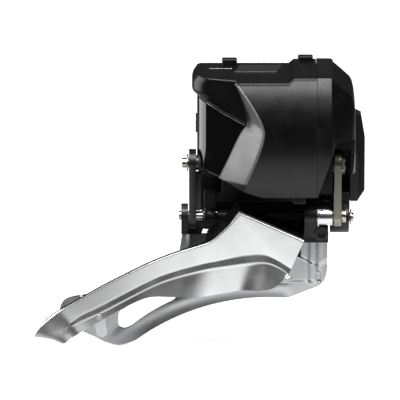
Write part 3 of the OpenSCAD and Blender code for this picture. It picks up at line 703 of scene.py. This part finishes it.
# What is cut away at the lower front: an outline in X-Z up to a Y, and blocks by their corners
SLANT, SLANT_Y = [(22, 10.6), (21, 8.7), (15.7, -8), (15.7, -12), (40, -12), (40, 10.6)], -29.5
LOWER_CUTS = [((20.7, -60, -20), (26.5, -20, 2.5)), ((20.7, -30.2, -20), (26.7, 0, 7)),
              ((20.9, -60, -20), (40, 0, -1.5))]


def cap_section(x, inset, drop):
    """Outline of the cap in Y-Z at one X, drawn in by inset, with its top lowered by drop."""
    low, high = FLOOR + inset * 0.3, RAISED + TOP_SLOPE * (-36 - BACK) - inset * 0.2 - drop
    ring = [Vector((x, BACK, low))]
    for k in range(CAP_ROWS + 1):
        z = low + (high - low) * k / CAP_ROWS
        ring.append(Vector((x, barrel_y(z) + inset, z)))
    ring.append(Vector((x, BACK, RAISED - inset * 0.1 - drop)))
    return ring


def cap_stations():
    """The cap from the seam round its front edge to its nose: X, inset and drop."""
    stations = [(SEAM + SEAM_GAP, 0.0, 0.0)]
    for k in range(ROUND_STEPS + 1):
        turn = math.radians(90 * k / ROUND_STEPS)
        back = 1 - math.cos(turn)
        stations.append((CAP_FRONT_X - CAP_ROUND * (1 - math.sin(turn)), CAP_ROUND * back, 0.5 * back))
    return stations + NOSE


def cap_room():
    """The room inside the cap, open at the seam."""
    room = barrel(block((SEAM, -50, FLOOR + 1.6), (19.4, -12, RAISED - 4.5)), 2.2)
    slant = prism([(19.6, 8.7), (14.3, -8), (14.3, -12), (40, -12), (40, 8.7)], -60, SLANT_Y + 1.3)
    room = combine(room, slant, "DIFFERENCE")
    return combine(room, notch(1.5, 1.6), "DIFFERENCE")


def end_cap():
    """The cap with its room and the shaft's bore."""
    bm = loft([cap_section(*station) for station in cap_stations()])
    cuts = [prism(SLANT, -60, SLANT_Y)] + [block(*corners) for corners in LOWER_CUTS]
    for part in cuts + [notch(), cap_room(), rod(SHAFT, BORE_R, SEAM, 22)]:
        bm = combine(bm, part, "DIFFERENCE")
    cap = make("cap_shell", bm, "housing_black", "base", even=True, angle=38, round_mm=0.3)
    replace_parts(cap, "end_cap")


end_cap()


# ---------------------------------------------------------------- cage plates

INNER_LOW, INNER_HIGH = box("inner_plate")
OUTER_Y = box("outer_plate")[0].y + 0.6
FLANGE_Y = INNER_LOW.y
# The cage's arcs are round the crank's axis, at X 0 and CRANK_Z: their radii at the outer and inner plate
OUTER_ARC_R, INNER_ARC_R = 81.5, 75.1
CRANK_Z = -40.2 - OUTER_ARC_R

# Rails of the outer plate in X-Z, each a list of smooth stretches from the tail to the front
RAIL_LOW = [
    [(-69.1, -59.2), (-63.3, -55.8)],
    [(-63.3, -55.8), (-58.5, -52.7), (-53.7, -49.7), (-48.2, -46.6), (-42.7, -43.9), (-38.5, -42.9),
     (-33, -42.9), (-29.6, -42.9)],
    [(-29.6, -42.9), (-26, -42.9), (-22, -42.9), (-16.3, -42.0), (-10, -40.9), (-4, -40.3), (-1, -40.1)],
    [(-1, -40.1), (1.2, -39.5), (4.2, -37.3), (6.0, -35.2)],
]
RAIL_MID = [
    [(-72.8, -57.6), (-66.2, -52.9)],
    [(-66.2, -52.9), (-62.2, -50.4), (-56, -47.3), (-49.3, -43.6), (-43, -40.2), (-36.7, -37.1),
     (-31.6, -35.3), (-29.0, -34.5)],
    [(-29.0, -34.5), (-22, -32.7), (-16.7, -31.7), (-10, -30.5), (-4.7, -29.9), (-1.5, -30.0), (0.5, -30.6)],
    [(0.5, -30.6), (3, -31.9), (5, -33.2), (6.6, -34.4)],
]
RAIL_HIGH = [
    [(-78.8, -56.5), (-77.7, -54.4), (-76.2, -52.6), (-73.4, -50.4), (-70.5, -48.5)],
    [(-70.5, -48.5), (-62, -43.3), (-52.7, -37.9), (-41.7, -32.1), (-35.6, -29.4), (-29.5, -27.1)],
    [(-29.5, -27.1), (-25.3, -25.8), (-21.3, -24.5), (-18.6, -22.9), (-16.3, -20.8), (-13.6, -18),
     (-10.2, -13.8)],
    [(-10.2, -13.8), (11.3, -23.6)],
]
STRETCH_STEPS = [16, 60, 40, 34]
TAIL = STRETCH_STEPS[0]
# Steps across the outer plate: lower panel, band, upper panel, bend and flange
PANEL_N, STRIP_N, BROW_N, BEND_N, FLANGE_N = 14, 5, 22, 6, 8
BEND_R = 0.5


def rail(stretches):
    """Evenly spaced points of each stretch, joined."""
    out = []
    for points, count in zip(stretches, STRETCH_STEPS):
        part = even_points(spline([(x, 0, z) for x, z in points], 12), count + 1)
        out += part if not out else part[1:]
    return out


def shares(count, first=1):
    """Even steps up to 1, from 1 / count or, when first is 0, from 0."""
    return [k / count for k in range(first, count + 1)]


def lower_lean(x):
    """The lower panel faces a little up near the tail, down in the middle and well up near the front."""
    return -0.10 + 0.14 * ease((x + 28) / 10) - 0.27 * ease((x + 11) / 8)


def bow(x):
    """The outer plate bows a little towards the chain at its tail."""
    return 0.0012 * max(0.0, -30 - x) ** 2


def flange_depth(x, start):
    """The flange is a narrow lip along the tail, reaches the inner plate at the top, and stops short of it
    in front."""
    if x < -21.3:
        return 1.6
    return FLANGE_Y - OUTER_Y - start - (0.0 if x < -17.8 else 1.7)


def outer_section(i, a, m, b):
    """Step i of the outer plate through its three rails: points in X-Z, each with its depth, from the lower
    edge up and over to the flange's edge."""
    up = (b - a).normalized()
    fade = ease((i - TAIL * 0.6) / 14)
    wide = ease((m.x + 20) / 12) * ease((6 - m.x) / 6)
    half = (0.95 + 0.45 * wide) * fade + 0.02
    below, above = m - up * (half + 0.4), m + up * (half + 0.4)
    strip_low, strip_high = m - up * half, m + up * half
    top = b - up * BEND_R
    lean = lower_lean(a.x) * (m - a).length
    # Depths of the upper panel's top, of the band's two lips and of the lower panel under the band
    brow = (0.05 - 0.14 * ease((b.x + 66) / 34)) * (top - m).length * fade
    lip = 0.10 * fade
    step = lip - 0.42 * fade
    crest = step + 0.10 * fade
    row = [(a.lerp(below, t), crest + lean * (1 - t) * fade) for t in shares(PANEL_N, 0)]
    row.append((strip_low, step))
    row += [(strip_low.lerp(strip_high, t), step + (lip - step) * t) for t in shares(STRIP_N)]
    row.append((above, 0.0))
    row += [(above.lerp(top, t), brow * t) for t in shares(BROW_N)]
    for t in shares(BEND_N):
        turn = math.pi / 2 * t
        row.append((top + up * BEND_R * math.sin(turn), brow + BEND_R * (1 - math.cos(turn))))
    depth = flange_depth(b.x, brow + BEND_R)
    rise = 1.3 * ease((b.x + 24) / 6) * ease((-8.5 - b.x) / 2)
    return row + [(b + up * rise * t, brow + BEND_R + depth * t) for t in shares(FLANGE_N)]


def outer_plate():
    """The plate flares out at its tail. Its flange takes a near-black painted shade, and along the tail so
    does half of the bend.
    """
    bm = bmesh.new()
    unshaded_share = bm.verts.layers.float.new("unshaded_share")
    rows = []
    for i, (a, m, b) in enumerate(zip(rail(RAIL_LOW), rail(RAIL_MID), rail(RAIL_HIGH))):
        flare = -3.4 * ease((TAIL + 2 - i) / (TAIL + 2)) + bow(b.x)
        row = outer_section(i, a, m, b)
        rows.append([bm.verts.new((p.x, OUTER_Y + y + flare, p.z)) for p, y in row])
        # Rows of the bend that also take the painted shade, along the tail
        rim = 3 * ease((b.x + 71) / 3) * ease((-11.5 - b.x) / 2)
        for k, v in enumerate(rows[-1]):
            v[unshaded_share] = ease((len(row) - FLANGE_N - rim - k) / 2)
    for left, right in zip(rows, rows[1:]):
        for k in range(len(left) - 1):
            bm.faces.new((left[k], right[k], right[k + 1], left[k + 1]))
    plate = make("outer_cage_plate", bm, "cage_silver", "cage", round_mm=0.45, angle=50, thick=1.4,
                 look="plate_silver")
    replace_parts(plate, "outer_plate")


outer_plate()


def band(value, low, high, soft):
    """1 between low and high, easing to 0 over soft."""
    return ease((value - low) / soft) * ease((high - value) / soft)


def inner_relief(x, z):
    """How far the pressed features of the inner plate stand out towards the outer plate."""
    rise = math.hypot(x, z - CRANK_Z) - INNER_ARC_R
    arch = 0.55 * math.sin(math.pi * max(0.0, min(1.0, rise / 7.5))) * band(x, -56, 9, 5)
    step_z = -32.4 - 0.54 * (x - 9.3) if x < 15.5 else -35.8 + 0.55 * (x - 16.5)
    panel = 0.8 * ease((z - step_z) / 0.8) * band(x, 5, 30, 3)
    ribs = (0.7 * band(x, 12.7, 15.2, 0.9) + 0.7 * band(x, 15.4, 17.9, 0.9)) * band(z, -42, -20, 1.5)
    slot = -0.7 * band(x, 15.9, 17.3, 0.35) * band(z, -41.2, -37.4, 0.5)
    shelf = 0.45 * ease((z + 41.3) / 0.6) * band(x, 1, 13, 2)
    ear = max(0.0, z + 31) * (0.1 - 0.24 * ease((x + 27.6) / 0.6)) * ease((-16 - x) / 0.6)
    toe = -0.34 * max(0.0, z + 52) * ease((-57 - x) / 4)
    return arch + panel + ribs + slot + shelf + ear + toe


# Outline of the inner plate in X-Z: front edge, lower arc between two X, rounded toe and top, and its window
FRONT_EDGE = [(19.4, -27.4), (19.4, -36.6), (19.0, -39), (18.2, -41.2), (16.7, -42.6), (7.3, -46.4)]
INNER_ARC_X = (5.5, -44.8)
TOE = [(-46.6, -62.1), (-48.6, -62.8), (-51.2, -63), (-55.3, -62), (-58.5, -60.4), (-63.5, -58.1), (-68, -55),
       (-70.4, -51.6), (-69.4, -48.6), (-66.6, -47.1), (-62.2, -46.4)]
TOP_EDGE = [(-57.5, -45.7), (-52.7, -43.4), (-41.7, -37.3), (-30.3, -31.3), (-29.4, -25), (-17.8, -25),
            (-17.8, -27.4)]
WINDOW = [(-31.8, -46), (-31.9, -47.4), (-36, -49.6), (-40, -51.9), (-43.4, -54.2), (-46, -56.2),
          (-48.3, -57.3), (-49.9, -57.1), (-50.7, -56), (-50.5, -51.9), (-48.6, -50.4), (-44, -47.4),
          (-40.7, -45.2), (-36, -43.6)]


def rounded(points, steps):
    """A smooth outline through points, as plain pairs."""
    return [tuple(p) for p in spline(points, steps)]


def slice_up(bm, axis, change, wide, fine):
    """Cuts the faces into strips across an axis: wide ones up to the coordinate change, then fine ones."""
    reach = [v.co[axis] for v in bm.verts]
    at, normal = Vector(), Vector()
    at[axis], normal[axis] = min(reach) + wide, 1
    while at[axis] < max(reach) - 0.1:
        bmesh.ops.bisect_plane(bm, geom=bm.verts[:] + bm.edges[:] + bm.faces[:], dist=1e-4, plane_co=at,
                               plane_no=normal)
        at[axis] += wide if at[axis] < change else fine


def inner_plate():
    """A flat plate with a window, sliced up so that it can take its relief."""
    start, stop = (math.degrees(math.acos(x / INNER_ARC_R)) for x in INNER_ARC_X)
    lower = arc(0, CRANK_Z, INNER_ARC_R, start, stop, 60)
    bm = prism(FRONT_EDGE + lower + rounded(TOE, 5) + TOP_EDGE, INNER_LOW.y, INNER_HIGH.y)
    bm = combine(bm, prism(rounded(WINDOW, 4), INNER_LOW.y - 3, INNER_HIGH.y + 3), "DIFFERENCE")
    slice_up(bm, 0, 4.0, 0.9, 0.4)
    slice_up(bm, 2, -43.5, 1.1, 0.5)
    for v in bm.verts:
        v.co.y -= inner_relief(v.co.x, v.co.z)
    plate = make("inner_cage_plate", bm, "cage_silver", "cage", round_mm=0.4, angle=50, look="inner_silver")
    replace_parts(plate, "inner_plate")


inner_plate()


# ---------------------------------------------------------------- rear arm

# The web between the pivots: its inner side's X, its lower end's Z, and its room round the shaft's bearing
WEB_INNER, WEB_LOW, WEB_ROOM = -23.1, -14.6, 4.2


def rear_arm():
    """The arm is thicker between its two pivots, where it is clear of the housing."""
    low, high = box("rear_arm")
    shaft, pin = box("output_shaft"), box("rear_pin")
    y = (low.y + high.y) / 2
    upper_z, lower_z = (shaft[0].z + shaft[1].z) / 2, (pin[0].z + pin[1].z) / 2
    upper_end = arc(y, upper_z, (high.y - low.y) / 2, 0, 180, 24)
    lower_end = arc(y, lower_z, lower_z - low.z, 180, 360, 24)
    bm = prism(upper_end + lower_end, low.x, high.x, "x")
    bm = combine(bm, block((high.x - 0.4, y - 2.4, WEB_LOW), (WEB_INNER, y + 2.4, upper_z)), "UNION")
    for z, r, start in ((upper_z, WEB_ROOM, high.x), (upper_z, 2.5, low.x - 1), (lower_z, 1.6, low.x - 1)):
        bm = combine(bm, rod((y, z), r, start, high.x + 3), "DIFFERENCE")
    arm = make("rear_link_arm", bm, "black_link", "outboard_link", round_mm=0.4)
    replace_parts(arm, "rear_arm")


rear_arm()


# ---------------------------------------------------------------- CAD nodes

SLOT = {s["node"]: s["material_slot"] for s in frame["record"]["subparts"]}
# Nodes that a piece made here stands for
REPLACED = ("motor_housing", "side_insert", "chevron_trim", "end_cap", "outer_plate", "inner_plate",
            "rear_arm")
ROUNDING = {"mount_bracket": 0.5, "cage_bracket": 0.45, "inner_link": 0.45, "drive_arm": 0.35,
            "tail_bridge": 0.0, "pivot_bush": 0.25, "adjust_screw": 0.2}


def dress_nodes():
    """Every node takes its slot's material, and those that are shown get rounded edges."""
    for name, node in frame["nodes"].items():
        node.data.materials.clear()
        node.data.materials.append(MATERIALS["nickel_pin" if name == "output_shaft" else SLOT[name]])
        if name in REPLACED:
            continue
        weld = node.modifiers.new("weld", "WELD")
        weld.merge_threshold = 0.002 * MM
        add_bevel(node, ROUNDING.get(name, 0.12), 2, 32)


dress_nodes()


# ---------------------------------------------------------------- stage, light and camera

# What the camera is aimed at, how high it stands over it in angle, how far away, and how wide it sees there
AIM = Vector((-23.33, -24.0, -11.57)) * MM
VIEW_RISE = math.radians(13)
VIEW_AWAY, VIEW_WIDTH = 2.0, 133.33 * MM
SENSOR = 36
# The part sees the floor as a lit table that fades out between these distances, in millimetres
TABLE_REACH = (80, 205)
TABLE_LIGHT = 1.08
# It is dark right under the part, and dimmer towards the tail
TABLE_SHADE = (16, 36)
TABLE_SIDE = (-70, -20)
# The table's distances shrink behind and right of the part, so that it reaches further there
TABLE_SHRINK = (0.6, 0.35, 1)
# Brightness that the part sees in each direction, over (height + 1) / 2 of a unit sphere
SURROUNDINGS = [(0.0, 0.5), (0.48, 0.5), (0.49, 0.03), (0.60, 0.05), (0.70, 0.08), (1.0, 0.25)]


def table_light(tree, coords):
    """Brightness of the table, over its distance from below the camera's aim and its place along X."""
    centre = (AIM.x / MM, AIM.y / MM, 0)
    offset = add_node(tree, "VectorMath", {0: coords, 1: centre}, operation="SUBTRACT").outputs[0]
    shrunk = add_node(tree, "VectorMath", {0: offset, 1: TABLE_SHRINK}, operation="MULTIPLY").outputs[0]
    nearest = add_node(tree, "VectorMath", {0: offset, 1: shrunk}, operation="MINIMUM").outputs[0]
    away = add_node(tree, "VectorMath", {0: nearest}, operation="LENGTH").outputs["Value"]
    reach = spread(tree, away, TABLE_LIGHT, 0.03, *TABLE_REACH)
    shade = spread(tree, away, 0.12, 1.0, *TABLE_SHADE)
    split = add_node(tree, "SeparateXYZ", {0: coords})
    side = spread(tree, split.outputs["X"], 0.55, 1.0, *TABLE_SIDE)
    return times(tree, times(tree, reach, shade), side)


def stage():
    """A floor that is plain and pale for the camera and a lit table for the part."""
    bm = bmesh.new()
    bmesh.ops.create_grid(bm, x_segments=1, y_segments=1, size=3.0)
    mesh = bpy.data.meshes.new("floor")
    bm.to_mesh(mesh)
    bm.free()
    floor = bpy.data.objects.new("floor", mesh)
    floor.location.z = cad_low.z - 0.6 * MM
    bpy.context.collection.objects.link(floor)
    pale, tree, shader, coords = new_material("floor", (0.90, 0.90, 0.90), 0.9)
    shader.inputs["Specular IOR Level"].default_value = 0.0
    shader.inputs["Emission Color"].default_value = (1, 1, 1, 1)
    shader.inputs["Emission Strength"].default_value = 0.66
    pale.cycles.emission_sampling = "NONE"
    seen = add_node(tree, "LightPath").outputs["Is Camera Ray"]
    table = add_node(tree, "Emission", {"Strength": table_light(tree, coords)}).outputs[0]
    mix = add_node(tree, "MixShader", {0: seen, 1: table, 2: shader.outputs[0]})
    tree.links.new(mix.outputs[0], tree.nodes["Material Output"].inputs["Surface"])
    mesh.materials.append(pale)
    floor.visible_diffuse = False
    floor.visible_shadow = False


def world():
    """White for the camera. The part sees a bright floor, a dark band at eye height and a dim ceiling."""
    sky = bpy.data.worlds.new("studio")
    bpy.context.scene.world = sky
    sky.use_nodes = True
    tree = sky.node_tree
    tree.nodes.clear()
    place = add_node(tree, "TexCoord").outputs["Generated"]
    rise = add_node(tree, "SeparateXYZ", {0: place}).outputs["Z"]
    height = add_node(tree, "Math", {0: rise, 1: 0.5, 2: 0.5}, operation="MULTIPLY_ADD").outputs[0]
    ramp = add_node(tree, "ValToRGB", {0: height})
    elements = ramp.color_ramp.elements
    while len(elements) < len(SURROUNDINGS):
        elements.new(0.5)
    for element, (at, grey) in zip(elements, SURROUNDINGS):
        element.position = at
        element.color = (grey, grey, grey, 1)
    lit = add_node(tree, "Background", {"Color": ramp.outputs[0]}).outputs[0]
    white = add_node(tree, "Background", {"Color": (1, 1, 1, 1)}).outputs[0]
    seen = add_node(tree, "LightPath").outputs["Is Camera Ray"]
    mix = add_node(tree, "MixShader", {0: seen, 1: lit, 2: white})
    add_node(tree, "OutputWorld", {0: mix.outputs[0]})


def place_at(thing, toward, away):
    """Puts a lamp or a camera this far from the aim in a direction, and turns it to face the aim."""
    thing.location = AIM + toward * away
    thing.rotation_mode = "QUATERNION"
    thing.rotation_quaternion = (-toward).to_track_quat("-Z", "Y")
    bpy.context.collection.objects.link(thing)


def softbox(name, turn, rise, away, size, radiance):
    """An area light that faces the part, turned left of the camera and raised, in degrees."""
    turn, rise = math.radians(turn), math.radians(rise)
    data = bpy.data.lights.new(name, "AREA")
    data.shape = "RECTANGLE"
    data.size, data.size_y = size
    data.energy = radiance * math.pi * size[0] * size[1]
    toward = Vector((-math.sin(turn) * math.cos(rise), -math.cos(turn) * math.cos(rise), math.sin(rise)))
    place_at(bpy.data.objects.new(name, data), toward, away)


def add_camera():
    """A long lens, square on from the drive side and a little above."""
    camera = bpy.data.objects.new("camera", bpy.data.cameras.new("camera"))
    camera.data.sensor_width = SENSOR
    camera.data.lens = SENSOR * VIEW_AWAY / VIEW_WIDTH
    camera.data.clip_end = 20
    place_at(camera, Vector((0, -math.cos(VIEW_RISE), math.sin(VIEW_RISE))), VIEW_AWAY)
    bpy.context.scene.camera = camera


stage()
world()
softbox("overhead", 0, 62, 0.8, (1.2, 0.5), 6.5)
softbox("left_strip", 103, 14, 0.21, (0.19, 0.20), 2.6)
add_camera()
bpy.context.scene.view_settings.view_transform = "Standard"
